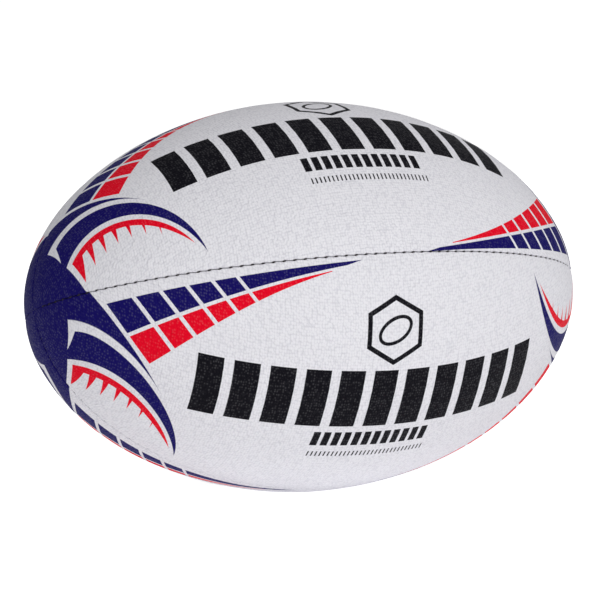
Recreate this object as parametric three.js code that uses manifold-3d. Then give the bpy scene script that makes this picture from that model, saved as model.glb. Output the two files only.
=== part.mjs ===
// Rugby ball, size 5: four sewn cover panels with bonded linings, over a bladder with its valve.
//
// Millimetres, +Z up. The origin is the centre of the ball and +X runs along it, from point to
// point. The ball lies on its side, and the front of it faces -Y.
//
// Every layer is the same oval, moved inwards by a depth that is measured square to the surface.
// A panel's own frame has its two seams in the planes z = 0 and y = 0, with the panel between
// them where y and z are positive. The four panels are the same piece, a quarter turn apart.

import * as THREE from 'three';
import { mergeVertices } from 'three/addons/utils/BufferGeometryUtils.js';
import Module from 'manifold-3d';

const wasm = await Module();
wasm.setup();

// ---- Sizes -----------------------------------------------------------------------------------

// The inflated ball
const ballLength = 288;
const ballDiameter = 191;
const pointSharpness = 0.05; // share by which the girth falls short of an ellipse at the points
const layTurn = 17.5; // degrees that the front seam lies above the level of the ball's axis

// Skin, from the outside in
const coverThickness = 1.2;
const plyThickness = 0.35;
const plyNames = ['outer', 'middle', 'inner'];
const bondGap = 0.3; // between two layers that are bonded or lie on each other

// Seams: each panel's edge turns in and stands inwards along the seam
const seamGap = 0.8; // between the turned-in edges of two panels
const turnThickness = 1.6; // of a turned-in edge
const turnDepth = 4.6; // how far the turned-in edge reaches below the outside

// Thread
const threadDiameter = 0.8;
const threadDepth = 0.8; // of its middle below the outside
const stitchLength = 5;
const stitchSway = 0.5; // how far a stitch steps to each side of the seam
const threadStart = 7; // bare seam between a point of the ball and the first stitch
const threadClearance = 0.4; // between the thread and the groove that it lies in

// Bladder
const bladderThickness = 0.9;
const bladderGap = 0.3; // between the turned-in edges and the bladder

// Valve, in the back panel beside its lower seam
const valveFromSeam = 17; // along the surface, from the seam to the valve's middle
const stemDiameter = 9;
const stemLength = 24;
const stemClearance = 0.4; // between the stem and the holes that it passes through
const valveRecess = 0.3; // of the stem's flat face below the outside of the ball
const flangeDiameter = 26;
const flangeThickness = 1.2;
const patchDiameter = 22;
const patchThickness = 0.7;
const coreDiameter = 4.4;
const coreLength = 15;
const coreClearance = 0.3; // between the core and the stem's bore, and above the core
const needleDiameter = 1.8;
const faceThickness = 2.4; // of the stem's wall between its flat face and the core
const slitWidth = 2.2;
const slitGap = 0.4;

// Fineness of the facets
const facetsPerPanel = 7;
const facetsAlong = 16;
const roundFacets = 24;

// ---- Values that follow from them ------------------------------------------------------------

const halfLength = ballLength / 2;
const radius = ballDiameter / 2;
const plyPitch = bondGap + plyThickness;
const liningDepth = coverThickness + plyNames.length * plyPitch;
const turnNear = seamGap / 2;
const turnFar = turnNear + turnThickness;
const grooveHalf = threadDiameter / 2 + stitchSway + threadClearance; // half its width
const grooveDepth = threadDepth + threadDiameter / 2 + threadClearance;
const bladderTop = Math.max(turnDepth, liningDepth + bondGap + patchThickness) + bladderGap;
const bladderBottom = bladderTop + bladderThickness;
const flangeTop = bladderBottom + bondGap;
const boreDiameter = coreDiameter + 2 * coreClearance;
const boreStart = valveRecess + faceThickness; // depth of the bore's blind end
const stemEnd = valveRecess + stemLength;
const valveAngle = valveFromSeam / radius; // about the ball's axis, from the panel's first seam
const reach = ballLength + ballDiameter; // larger than the ball

// ---- Solids ----------------------------------------------------------------------------------

// A closed geometry as a solid that can be cut and joined.
function solid(geometry) {
  const plain = geometry.index ? geometry.toNonIndexed() : geometry.clone();
  plain.deleteAttribute('normal');
  plain.deleteAttribute('uv');
  const merged = mergeVertices(plain, 1e-4);
  const corners = merged.index.array;
  const kept = [];
  for (let i = 0; i < corners.length; i += 3) {
    const [a, b, c] = [corners[i], corners[i + 1], corners[i + 2]];
    if (a !== b && b !== c && c !== a) kept.push(a, b, c);
  }
  return new wasm.Manifold(
    new wasm.Mesh({
      numProp: 3,
      vertProperties: new Float32Array(merged.attributes.position.array),
      triVerts: new Uint32Array(kept),
    }),
  );
}

// A solid as a geometry with flat facets.
function geometryOf(body) {
  const mesh = body.getMesh();
  const geometry = new THREE.BufferGeometry();
  geometry.setAttribute('position', new THREE.BufferAttribute(mesh.vertProperties, 3));
  geometry.setIndex(new THREE.BufferAttribute(mesh.triVerts, 1));
  geometry.computeVertexNormals();
  return geometry;
}

// Point of the half outline at angle t (from -90 to 90 degrees), moved in by a depth.
function outlinePoint(t, depth) {
  const girth = Math.cos(t) * (1 - pointSharpness * Math.sin(t) ** 2);
  const along = halfLength * Math.cos(t);
  const across =
    -radius * Math.sin(t) * (1 - pointSharpness * Math.sin(t) ** 2 + 2 * pointSharpness * Math.cos(t) ** 2);
  const speed = Math.hypot(along, across);
  return new THREE.Vector2(
    halfLength * Math.sin(t) + (depth * across) / speed,
    radius * girth - (depth * along) / speed,
  );
}

// The oval whose surface lies a depth below the outside of the ball.
function oval(depth) {
  const profile = [];
  for (let i = 0; i <= facetsAlong; i += 1) {
    const t = Math.PI * (i / facetsAlong - 0.5);
    const point = outlinePoint(t, depth);
    const onAxis = i === 0 || i === facetsAlong;
    profile.push(new THREE.Vector2(onAxis ? 0 : point.y, point.x));
  }
  const geometry = new THREE.LatheGeometry(profile, 4 * facetsPerPanel);
  geometry.rotateZ(-Math.PI / 2);
  return solid(geometry);
}

// Everything between two depths.
function layer(top, bottom) {
  return oval(top).subtract(oval(bottom));
}

// The space of one panel, a distance inside both of its seam planes.
function quarter(edge) {
  const box = new THREE.BoxGeometry(2 * reach, reach, reach);
  box.translate(0, edge + reach / 2, edge + reach / 2);
  return solid(box);
}

// A strip of a layer that runs round a panel beside its seams.
function seamStrip(top, bottom, near, far) {
  return layer(top, bottom).intersect(quarter(near).subtract(quarter(far)));
}

// A round bar along the valve's axis, between two depths.
function valveBar(diameter, top, bottom) {
  const bar = new THREE.CylinderGeometry(diameter / 2, diameter / 2, bottom - top, roundFacets);
  bar.translate(0, radius - (top + bottom) / 2, 0);
  bar.rotateX(valveAngle);
  return solid(bar);
}

// ---- Pieces, each in the frame of the panel that it belongs to --------------------------------

// The rubber cover of one panel, with the edges that turn in along both seams.
function coverPanel() {
  const skin = layer(0, coverThickness).intersect(quarter(grooveHalf));
  const rim = seamStrip(0, turnDepth, grooveHalf, turnFar);
  const lip = seamStrip(grooveDepth, turnDepth, turnNear, turnFar);
  return skin.add(rim).add(lip);
}

// One ply of a panel's lining, counted from the cover inwards.
function liningPly(index) {
  const top = coverThickness + bondGap + index * plyPitch;
  return layer(top, top + plyThickness).intersect(quarter(turnFar + bondGap));
}

// The hole that the valve's stem passes through.
function stemHole() {
  return valveBar(stemDiameter + 2 * stemClearance, -1, stemEnd);
}

// The thread of one seam, which steps from side to side once a stitch.
class SeamPath extends THREE.Curve {
  constructor() {
    super();
    const fine = 2000;
    const limit = Math.PI / 2;
    this.angles = [];
    this.lengths = [0];
    for (let i = 0; i <= fine; i += 1) {
      this.angles.push(limit * ((2 * i) / fine - 1));
      if (i > 0) {
        const step = outlinePoint(this.angles[i], threadDepth).distanceTo(
          outlinePoint(this.angles[i - 1], threadDepth),
        );
        this.lengths.push(this.lengths[i - 1] + step);
      }
    }
    this.seamLength = this.lengths[fine];
    this.stitches = Math.floor((this.seamLength - 2 * threadStart) / stitchLength);
  }

  // Point of the seam line at a distance along it from the ball's first point.
  alongSeam(distance) {
    const next = this.lengths.findIndex((length) => length >= distance);
    const i = THREE.MathUtils.clamp(next, 1, this.lengths.length - 1);
    const share = (distance - this.lengths[i - 1]) / (this.lengths[i] - this.lengths[i - 1]);
    return outlinePoint(THREE.MathUtils.lerp(this.angles[i - 1], this.angles[i], share), threadDepth);
  }

  getPoint(t, target = new THREE.Vector3()) {
    const count = t * this.stitches;
    const start = (this.seamLength - this.stitches * stitchLength) / 2;
    const point = this.alongSeam(start + count * stitchLength);
    const sway = 2 * Math.abs(2 * (count / 2 - Math.floor(count / 2 + 0.5))) - 1;
    return target.set(point.x, point.y, stitchSway * sway);
  }

  // The stitches are even, so a share of the length is the same share of the count.
  getPointAt(u, target) {
    return this.getPoint(u, target);
  }

  getTangentAt(u, target) {
    return this.getTangent(u, target);
  }
}

function seamThread() {
  const path = new SeamPath();
  const section = new THREE.Shape();
  const half = threadDiameter / 2;
  section.moveTo(half, 0).lineTo(0, half).lineTo(-half, 0).lineTo(0, -half).closePath();
  return solid(new THREE.ExtrudeGeometry(section, { extrudePath: path, steps: path.stitches }));
}

// The bladder: one closed skin, open only where the stem comes out of it.
function bladder() {
  return layer(bladderTop, bladderBottom).subtract(stemHole());
}

// The valve body: a stem, with a flange that is bonded to the inside of the bladder.
function valveBody() {
  const flange = layer(flangeTop, flangeTop + flangeThickness).intersect(
    valveBar(flangeDiameter, 0, stemEnd),
  );
  const bore = valveBar(boreDiameter, boreStart, stemEnd + 1);
  const needleHole = valveBar(needleDiameter, -1, boreStart + 1);
  return flange.add(valveBar(stemDiameter, valveRecess, stemEnd)).subtract(bore).subtract(needleHole);
}

// The valve core: a plug in the stem's bore, slit along its length for the needle.
function valveCore() {
  const top = boreStart + coreClearance;
  const slit = new THREE.BoxGeometry(slitWidth, coreLength + 2, slitGap);
  slit.translate(0, radius - top - coreLength / 2, 0);
  slit.rotateX(valveAngle);
  return valveBar(coreDiameter, top, top + coreLength).subtract(solid(slit));
}

// The patch that strengthens the lining round the stem.
function valvePatch() {
  const top = liningDepth + bondGap;
  return layer(top, top + patchThickness)
    .intersect(valveBar(patchDiameter, 0, stemEnd))
    .subtract(stemHole())
    .intersect(quarter(turnFar + bondGap));
}

// ---- Assembly --------------------------------------------------------------------------------

const colours = {
  cover: { color: 0xe9ebee, roughness: 0.55 },
  lining: { color: 0xcfc8b6, roughness: 0.9 },
  thread: { color: 0x1d1a1c, roughness: 0.7 },
  bladder: { color: 0x201f22, roughness: 0.45 },
  valve: { color: 0x17171a, roughness: 0.5 },
};

const group = new THREE.Group();
const ball = new THREE.Group();
ball.rotation.x = THREE.MathUtils.degToRad(180 - layTurn);
group.add(ball);

// Put a piece into the ball, turned about the ball's axis by a number of quarters.
function place(name, geometry, finish, quarters) {
  const material = new THREE.MeshStandardMaterial({ ...colours[finish], metalness: 0 });
  const mesh = new THREE.Mesh(geometry, material);
  mesh.name = name;
  mesh.rotation.x = (quarters * Math.PI) / 2;
  ball.add(mesh);
}

// Panels in order round the ball, each named for where it lies, with the seam that starts it.
const panels = [
  { side: 'front', seam: 'top_front' },
  { side: 'bottom', seam: 'front_bottom' },
  { side: 'back', seam: 'bottom_back' },
  { side: 'top', seam: 'back_top' },
];
const valveSide = 'back';

const layers = [
  { prefix: 'cover_panel', body: coverPanel(), finish: 'cover' },
  ...plyNames.map((ply, index) => ({
    prefix: `${ply}_lining_ply`,
    body: liningPly(index),
    finish: 'lining',
  })),
];

panels.forEach(({ side, seam }, quarters) => {
  for (const { prefix, body, finish } of layers) {
    const piece = side === valveSide ? body.subtract(stemHole()) : body;
    place(`${prefix}_${side}`, geometryOf(piece), finish, quarters);
  }
  place(`seam_thread_${seam}`, geometryOf(seamThread()), 'thread', quarters);
  if (side === valveSide) {
    place('bladder', geometryOf(bladder()), 'bladder', quarters);
    place('valve_body', geometryOf(valveBody()), 'valve', quarters);
    place('valve_core', geometryOf(valveCore()), 'valve', quarters);
    place('valve_patch', geometryOf(valvePatch()), 'lining', quarters);
  }
});

export default group;
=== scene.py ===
"""Looks of a sewn rugby ball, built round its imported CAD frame.

The ball has four printed rubber cover panels with turned-in edges, three cloth plies behind each
of them, a sewn thread in each seam, and a bladder with its valve. Sizes are in metres, and those of
the print in millimetres.
"""

import logging
import math
from dataclasses import dataclass, field
from enum import Enum
from typing import Callable, Iterable, Optional, Union

import bmesh
import bpy
import numpy as np
from mathutils import Matrix, Vector, noise


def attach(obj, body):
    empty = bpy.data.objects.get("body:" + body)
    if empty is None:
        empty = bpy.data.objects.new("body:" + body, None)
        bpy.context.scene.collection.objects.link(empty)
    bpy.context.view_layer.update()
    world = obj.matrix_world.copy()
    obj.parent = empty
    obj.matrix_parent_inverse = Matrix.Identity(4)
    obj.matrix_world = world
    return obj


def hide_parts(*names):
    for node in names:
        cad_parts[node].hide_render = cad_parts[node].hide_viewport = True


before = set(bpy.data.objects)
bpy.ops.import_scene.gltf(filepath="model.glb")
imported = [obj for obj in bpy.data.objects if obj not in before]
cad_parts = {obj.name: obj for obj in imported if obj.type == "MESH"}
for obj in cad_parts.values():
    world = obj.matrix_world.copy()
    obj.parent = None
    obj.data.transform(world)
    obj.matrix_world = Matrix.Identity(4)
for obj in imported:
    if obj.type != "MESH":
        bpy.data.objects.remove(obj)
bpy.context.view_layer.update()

LOG = logging.getLogger("rugby_ball")
BODY = "root"
MM = 0.001
QUARTER = math.pi / 2
PRINT_EDGE = 0.16

Colour = tuple[float, float, float]
Corner = tuple[float, float]


def ramp(low: float, high: float, value: float) -> float:
    """Smooth step from 0 at low to 1 at high.

    Args:
        low: value where the step starts.
        high: value where it ends.
        value: the value to judge.

    Returns:
        A share from 0 to 1.
    """
    share = min(max((value - low) / (high - low), 0.0), 1.0)
    return share * share * (3.0 - 2.0 * share)


def paint(red: int, green: int, blue: int) -> Colour:
    """Colour of a paint chart, from 0 to 255 a channel, as Blender's linear light.

    Args:
        red: red of the chart.
        green: green of the chart.
        blue: blue of the chart.

    Returns:
        The same colour in linear light.
    """

    def linear(channel: int) -> float:
        """Linear light of one channel."""
        share = channel / 255
        return share / 12.92 if share <= 0.04045 else ((share + 0.055) / 1.055) ** 2.4

    return linear(red), linear(green), linear(blue)


# ---- The shape of the ball ---------------------------------------------------------------------


class Side(Enum):
    """Quarter of the ball that a panel covers, in quarter turns about the ball's axis."""

    FRONT = 0
    BOTTOM = 1
    BACK = 2
    TOP = 3

    @property
    def label(self) -> str:
        """Name of the side in the names of pieces."""
        return self.name.lower()

    @property
    def seam(self) -> str:
        """Name of the seam that the side's panel starts at."""
        return f"{Side((self.value - 1) % 4).label}_{self.label}"


@dataclass
class BallShape:
    """Outside of the inflated ball: a pointed oval turned about the X axis.

    A place on it is given by its length along the surface from the belly, towards +X, and by its
    angle about the X axis. A layer of the skin is the same oval at a depth, measured square to the
    outside.
    """

    half_length: float = 144 * MM
    radius: float = 95.5 * MM
    sharpness: float = 0.05
    lay_turn: float = 17.5
    unevenness: float = 0.15 * MM
    unevenness_length: float = 26 * MM
    table_steps: int = 4000
    reach: float = field(init=False)

    def __post_init__(self) -> None:
        """Measures the length of the outline from the belly to every angle of its table."""
        self._angles = np.linspace(-QUARTER, QUARTER, self.table_steps + 1)
        sines = np.sin(self._angles)
        across = self.radius * np.cos(self._angles) * (1 - self.sharpness * sines**2)
        along = self.half_length * sines
        steps = np.hypot(np.diff(along), np.diff(across))
        lengths = np.concatenate([[0.0], np.cumsum(steps)])
        self.reach = float(lengths[-1]) / 2
        self._lengths = lengths - self.reach

    def outline(self, length: float, depth: float = 0.0) -> Corner:
        """Point of a layer's outline.

        Args:
            length: place along the outside, from the belly.
            depth: how far the layer lies below the outside.

        Returns:
            The place along X and the distance from the X axis.
        """
        turn = float(np.interp(length, self._lengths, self._angles))
        sine, cosine = math.sin(turn), math.cos(turn)
        girth = self.radius * cosine * (1 - self.sharpness * sine**2)
        run = self.half_length * cosine
        rise = -self.radius * sine * (1 - self.sharpness * sine**2 + 2 * self.sharpness * cosine**2)
        speed = math.hypot(run, rise)
        return self.half_length * sine + depth * rise / speed, girth - depth * run / speed

    def start(self, side: Side) -> float:
        """Angle about the X axis of the seam that a side's panel starts at."""
        return math.radians(180 - self.lay_turn) + side.value * QUARTER

    def point(self, length: float, angle: float, depth: float = 0.0) -> Vector:
        """Point of a layer.

        Args:
            length: place along the outside, from the belly.
            angle: angle about the X axis.
            depth: depth below the outside.

        Returns:
            The point.
        """
        along, out = self.outline(length, depth)
        return Vector((along, out * math.cos(angle), out * math.sin(angle)))

    def swell(self, length: float, angle: float) -> float:
        """How far the uneven skin stands out at a place."""
        return self.unevenness * noise.noise(self.point(length, angle) / self.unevenness_length)


@dataclass(frozen=True)
class Stitching:
    """The run of the thread along a seam, which the edges of both panels follow too."""

    pitch: float = 5 * MM
    steps: int = 10
    bare_end: float = 7 * MM
    low_half_width: float = 0.12 * MM
    high_half_width: float = 0.34 * MM
    half_height: float = 0.3 * MM
    low_depth: float = 1.15 * MM
    high_depth: float = 0.5 * MM
    sway: float = 0.12 * MM
    clearance: float = 0.02 * MM
    closed_gap: float = 0.05 * MM
    valley: float = 0.5 * MM
    valley_width: float = 4.5 * MM
    pucker: float = 0.16 * MM
    pucker_width: float = 2.6 * MM
    pucker_middle: float = 0.4
    top_share: float = 0.08
    foot_share: float = 0.21
    narrow_girth: float = 6 * MM

    def stitch(self, length: float) -> float:
        """How far the thread is up, from 0 between two stitches to 1 on one."""
        away = abs(length / self.pitch - round(length / self.pitch)) * self.pitch
        return 1 - ramp(self.top_share * self.pitch, self.foot_share * self.pitch, away)

    def sewn(self, length: float, reach: float) -> float:
        """Whether the seam is sewn at a place, from 0 at the ball's points to 1."""
        last = reach - self.bare_end
        return 1 - ramp(last - self.pitch / 2, last, abs(length))

    def share(self, girth: float) -> float:
        """Share of a seam's full size, less where the panels are narrow."""
        return girth / (girth + self.narrow_girth)

    def lean(self, length: float) -> float:
        """How far the thread lies to the next panel's side of the seam."""
        return -self.sway * math.sin(2 * math.pi * length / self.pitch)

    def half_width(self, length: float) -> float:
        """Half the width of the thread."""
        rise = self.stitch(length)
        return self.low_half_width + (self.high_half_width - self.low_half_width) * rise

    def sink(self, length: float, away: float, share: float) -> float:
        """How far the skin dips towards a seam.

        Args:
            length: place along the seam.
            away: distance from the seam, along the surface.
            share: share of the full dip.

        Returns:
            The depth of the dip.
        """
        rise = self.stitch(length) - self.pucker_middle
        wave = self.pucker * rise * math.exp(-away / self.pucker_width)
        return share * (self.valley * math.exp(-away / self.valley_width) + wave)


# ---- Meshes ------------------------------------------------------------------------------------

Place = Callable[[int, int], Vector]
MapRule = Callable[[int, int, int], Corner]


def wrapped_grid(
    columns: int,
    rows: int,
    place: Place,
    maps: dict[str, MapRule],
    inner_columns: Iterable[int] = (),
) -> bmesh.types.BMesh:
    """Wraps a flat grid round a piece: its columns go round the section and its rows run along.

    Args:
        columns: number of faces round the section.
        rows: number of faces along the piece.
        place: position of a corner, from its column and row.
        maps: for each UV map, the place of a face's corner from the face's column and the corner's
            column and row.
        inner_columns: columns of faces that take the piece's second material.

    Returns:
        A closed mesh with its faces pointing outwards.
    """
    bm = bmesh.new()
    layers = {name: bm.loops.layers.uv.new(name) for name in maps}
    bmesh.ops.create_grid(bm, x_segments=columns, y_segments=rows, size=0.5)
    bm.verts.index_update()
    spots = [(round((v.co.x + 0.5) * columns), round((v.co.y + 0.5) * rows)) for v in bm.verts]
    inner = set(inner_columns)
    for face in bm.faces:
        corners = [spots[loop.vert.index] for loop in face.loops]
        column = min(corner[0] for corner in corners)
        face.material_index = 1 if column in inner else 0
        for name, rule in maps.items():
            layer = layers[name]
            for loop, corner in zip(face.loops, corners):
                loop[layer].uv = rule(column, *corner)
    for vert, spot in zip(bm.verts, spots):
        vert.co = place(*spot)
    bmesh.ops.remove_doubles(bm, verts=bm.verts, dist=1e-7)
    ends = [edge for edge in bm.edges if edge.is_boundary]
    if ends:
        caps = bmesh.ops.holes_fill(bm, edges=ends, sides=0)["faces"]
        for cap in caps:
            cap.material_index = 1 if inner else 0
        bmesh.ops.triangulate(bm, faces=caps)
    bmesh.ops.recalc_face_normals(bm, faces=bm.faces)
    return bm


def spin_outline(
    bm: bmesh.types.BMesh, outline: list[Corner], steps: int
) -> list[bmesh.types.BMFace]:
    """Spins an outline a full turn about the Z axis.

    Args:
        bm: mesh that takes the new faces.
        outline: distance from the axis and height of each corner.
        steps: number of faces round.

    Returns:
        The new faces, pointing outwards.
    """
    known = set(bm.faces)
    corners = [bm.verts.new((out, 0, height)) for out, height in outline]
    edges = [bm.edges.new(pair) for pair in zip(corners, corners[1:])]
    bmesh.ops.spin(
        bm,
        geom=corners + edges,
        cent=(0, 0, 0),
        axis=(0, 0, 1),
        angle=2 * math.pi,
        steps=steps,
        use_merge=True,
        use_duplicate=False,
    )
    bmesh.ops.remove_doubles(bm, verts=bm.verts, dist=1e-6)
    faces = [face for face in bm.faces if face not in known]
    bmesh.ops.recalc_face_normals(bm, faces=faces)
    return faces


def rounded(outline: list[Corner], radius: float, steps: int = 3) -> list[Corner]:
    """Rounds the inner corners of an outline.

    Args:
        outline: corners, of which the first and the last stay.
        radius: distance from a corner where its rounding starts, at most a third of the side.
        steps: number of faces in a rounding.

    Returns:
        The corners of the rounded outline.
    """
    result = [outline[0]]
    for before, corner, after in zip(outline, outline[1:], outline[2:]):
        here = Vector(corner)
        back = Vector(before) - here
        ahead = Vector(after) - here
        first = here + back.normalized() * min(radius, back.length / 3)
        last = here + ahead.normalized() * min(radius, ahead.length / 3)
        for step in range(steps + 1):
            share = step / steps
            bend = first * (1 - share) ** 2 + here * 2 * share * (1 - share) + last * share**2
            result.append((bend.x, bend.y))
    result.append(outline[-1])
    return result


def new_piece(
    name: str,
    bm: bmesh.types.BMesh,
    materials: list[bpy.types.Material],
    replaced: str,
    crease: float = 40.0,
) -> bpy.types.Object:
    """Makes a finished mesh a piece of the ball.

    Args:
        name: name of the piece.
        bm: its mesh, which is freed.
        materials: materials in the order of the faces' indices.
        replaced: CAD node that the piece stands for.
        crease: angle in degrees from which an edge stays sharp.

    Returns:
        The new object.
    """
    for face in bm.faces:
        face.smooth = True
    for edge in bm.edges:
        edge.smooth = edge.calc_face_angle(0.0) < math.radians(crease)
    mesh = bpy.data.meshes.new(name)
    bm.to_mesh(mesh)
    bm.free()
    for material in materials:
        mesh.materials.append(material)
    piece = bpy.data.objects.new(name, mesh)
    bpy.context.scene.collection.objects.link(piece)
    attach(piece, BODY)
    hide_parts(replaced)
    LOG.info("%s: %d faces", name, len(mesh.polygons))
    return piece


def cut_out(piece: bpy.types.Object, cutter: bmesh.types.BMesh) -> None:
    """Cuts a hole in a piece.

    Args:
        piece: the piece, whose mesh is changed.
        cutter: closed mesh of the space to take away, which is freed.
    """
    mesh = bpy.data.meshes.new("cutter")
    cutter.to_mesh(mesh)
    cutter.free()
    tool = bpy.data.objects.new("cutter", mesh)
    bpy.context.scene.collection.objects.link(tool)
    modifier = piece.modifiers.new("cut", "BOOLEAN")
    modifier.operation = "DIFFERENCE"
    modifier.solver = "EXACT"
    modifier.object = tool
    shown = piece.evaluated_get(bpy.context.evaluated_depsgraph_get())
    result = bpy.data.meshes.new_from_object(shown)
    piece.modifiers.clear()
    whole = piece.data
    name = whole.name
    piece.data = result
    bpy.data.meshes.remove(whole)
    result.name = name
    bpy.data.objects.remove(tool)
    bpy.data.meshes.remove(mesh)


# ---- Node graphs -------------------------------------------------------------------------------

Number = Union["Field", float]


class Field:
    """A value that changes over a surface: the output of a node, with arithmetic."""

    def __init__(self, graph: "Graph", socket: bpy.types.NodeSocket) -> None:
        """Keeps the output socket and the graph that it belongs to."""
        self.graph = graph
        self.socket = socket

    def __add__(self, other: Number) -> "Field":
        """Sum of two values."""
        return self.graph.math("ADD", self, other)

    def __sub__(self, other: Number) -> "Field":
        """Difference of two values."""
        return self.graph.math("SUBTRACT", self, other)

    def __mul__(self, other: Number) -> "Field":
        """Product of two values."""
        return self.graph.math("MULTIPLY", self, other)

    def __truediv__(self, other: Number) -> "Field":
        """Quotient of two values."""
        return self.graph.math("DIVIDE", self, other)

    def __rtruediv__(self, other: float) -> "Field":
        """Quotient of a number and a value."""
        return self.graph.math("DIVIDE", other, self)

    def __rsub__(self, other: float) -> "Field":
        """Difference of a number and a value."""
        return self.graph.math("SUBTRACT", other, self)

    def __and__(self, other: Number) -> "Field":
        """Overlap of two masks."""
        return self.graph.math("MINIMUM", self, other)

    def __or__(self, other: Number) -> "Field":
        """Union of two masks."""
        return self.graph.math("MAXIMUM", self, other)

    def __invert__(self) -> "Field":
        """Everything outside a mask."""
        return self.graph.math("SUBTRACT", 1.0, self)

    def __abs__(self) -> "Field":
        """Size of a value without its sign."""
        return self.graph.math("ABSOLUTE", self)

    def fraction(self) -> "Field":
        """Part of a value that is left over from the last whole number."""
        return self.graph.math("FRACT", self)

    def root(self) -> "Field":
        """Square root of a value."""
        return self.graph.math("SQRT", self)

    def above(self, edge: float = 0.0, softness: float = PRINT_EDGE) -> "Field":
        """Mask of where a value is above an edge.

        Args:
            edge: value at the mask's edge.
            softness: change of the value over which the mask fades.

        Returns:
            The mask.
        """
        offset = 0.5 - edge / softness
        return self.graph.math("MULTIPLY_ADD", self, 1 / softness, offset, clamp=True)

    def below(self, edge: float = 0.0, softness: float = PRINT_EDGE) -> "Field":
        """Mask of where a value is below an edge; the arguments are those of above."""
        offset = 0.5 + edge / softness
        return self.graph.math("MULTIPLY_ADD", self, -1 / softness, offset, clamp=True)

    def between(self, low: float, high: float) -> "Field":
        """Mask of where a value lies between two edges."""
        return self.above(low) & self.below(high)


class Graph:
    """Adds nodes to the tree of a material or of a group."""

    def __init__(self, tree: bpy.types.NodeTree) -> None:
        """Keeps the tree."""
        self.tree = tree

    def node(self, kind: str, **settings: object) -> bpy.types.Node:
        """Adds a node.

        Args:
            kind: node type, without its ShaderNode prefix.
            settings: attributes of the node and their values.

        Returns:
            The new node.
        """
        made = self.tree.nodes.new(f"ShaderNode{kind}")
        for name, value in settings.items():
            setattr(made, name, value)
        return made

    def put(self, socket: bpy.types.NodeSocket, value: object) -> None:
        """Gives a socket its value.

        Args:
            socket: the input socket.
            value: a number, a vector, a colour or the output of another node.
        """
        if isinstance(value, Field):
            self.tree.links.new(value.socket, socket)
        elif isinstance(value, tuple) and socket.type == "RGBA":
            socket.default_value = (*value, 1.0)
        else:
            socket.default_value = value

    def math(self, operation: str, *values: Number, clamp: bool = False) -> Field:
        """Adds a Math node.

        Args:
            operation: the node's operation.
            values: its inputs, in order.
            clamp: whether the result is held between 0 and 1.

        Returns:
            The result.
        """
        made = self.node("Math", operation=operation, use_clamp=clamp)
        for socket, value in zip(made.inputs, values):
            self.put(socket, value)
        return Field(self, made.outputs[0])

    def vector(self, operation: str, *values: object, scale: Optional[float] = None) -> Field:
        """Adds a Vector Math node.

        Args:
            operation: the node's operation.
            values: its vectors, in order.
            scale: its scale, if the operation takes one.

        Returns:
            The resulting vector.
        """
        made = self.node("VectorMath", operation=operation)
        for socket, value in zip(made.inputs, values):
            self.put(socket, value)
        if scale is not None:
            made.inputs["Scale"].default_value = scale
        return Field(self, made.outputs["Vector"])

    def length(self, place: Field) -> Field:
        """Measures a vector.

        Args:
            place: the vector.

        Returns:
            Its length.
        """
        made = self.node("VectorMath", operation="LENGTH")
        self.put(made.inputs[0], place)
        return Field(self, made.outputs["Value"])

    def split(self, place: Field) -> tuple[Field, Field]:
        """Takes a vector apart.

        Args:
            place: the vector.

        Returns:
            Its first two numbers.
        """
        made = self.node("SeparateXYZ")
        self.put(made.inputs[0], place)
        return Field(self, made.outputs[0]), Field(self, made.outputs[1])

    def join(self, first: Number, second: Number) -> Field:
        """Makes a vector.

        Args:
            first: its first number.
            second: its second number.

        Returns:
            The vector, with nought as its third number.
        """
        made = self.node("CombineXYZ")
        self.put(made.inputs[0], first)
        self.put(made.inputs[1], second)
        return Field(self, made.outputs[0])

    def surface_map(self, name: str) -> Field:
        """Place on one of the piece's UV maps."""
        made = self.node("UVMap", uv_map=name)
        return Field(self, made.outputs[0])

    def object_place(self) -> Field:
        """Place in the frame of the ball."""
        made = self.node("TexCoord")
        return Field(self, made.outputs["Object"])

    def noise(self, place: Field, size: float, detail: float = 2.0, rough: float = 0.5) -> Field:
        """Cloudy noise from 0 to 1.

        Args:
            place: vector in metres.
            size: size of the clouds.
            detail: number of finer layers.
            rough: weight of the finer layers.

        Returns:
            The noise.
        """
        made = self.node("TexNoise")
        self.put(made.inputs["Vector"], place)
        made.inputs["Scale"].default_value = 1 / size
        made.inputs["Detail"].default_value = detail
        made.inputs["Roughness"].default_value = rough
        return Field(self, made.outputs[0])

    def blend(self, mask: Number, under: object, over: object) -> Field:
        """Lays one colour over another.

        Args:
            mask: how much of the upper colour shows, from 0 to 1.
            under: the lower colour.
            over: the upper colour.

        Returns:
            The colour.
        """
        made = self.node("Mix", data_type="RGBA")
        self.put(made.inputs[0], mask)
        self.put(made.inputs[6], under)
        self.put(made.inputs[7], over)
        return Field(self, made.outputs[2])

    def bump(self, height: Field, distance: float) -> Field:
        """Normal of a surface with a relief.

        Args:
            height: height of the relief.
            distance: metres to one unit of height.

        Returns:
            The normal.
        """
        made = self.node("Bump")
        made.inputs["Distance"].default_value = distance
        self.put(made.inputs["Height"], height)
        return Field(self, made.outputs[0])

    def use(self, group: bpy.types.NodeTree, **values: object) -> dict[str, Field]:
        """Places a group.

        Args:
            group: the group.
            values: values of its inputs, by name.

        Returns:
            Its outputs, by name.
        """
        made = self.node("Group", node_tree=group)
        for name, value in values.items():
            self.put(made.inputs[name], value)
        return {socket.name: Field(self, socket) for socket in made.outputs}


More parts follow.
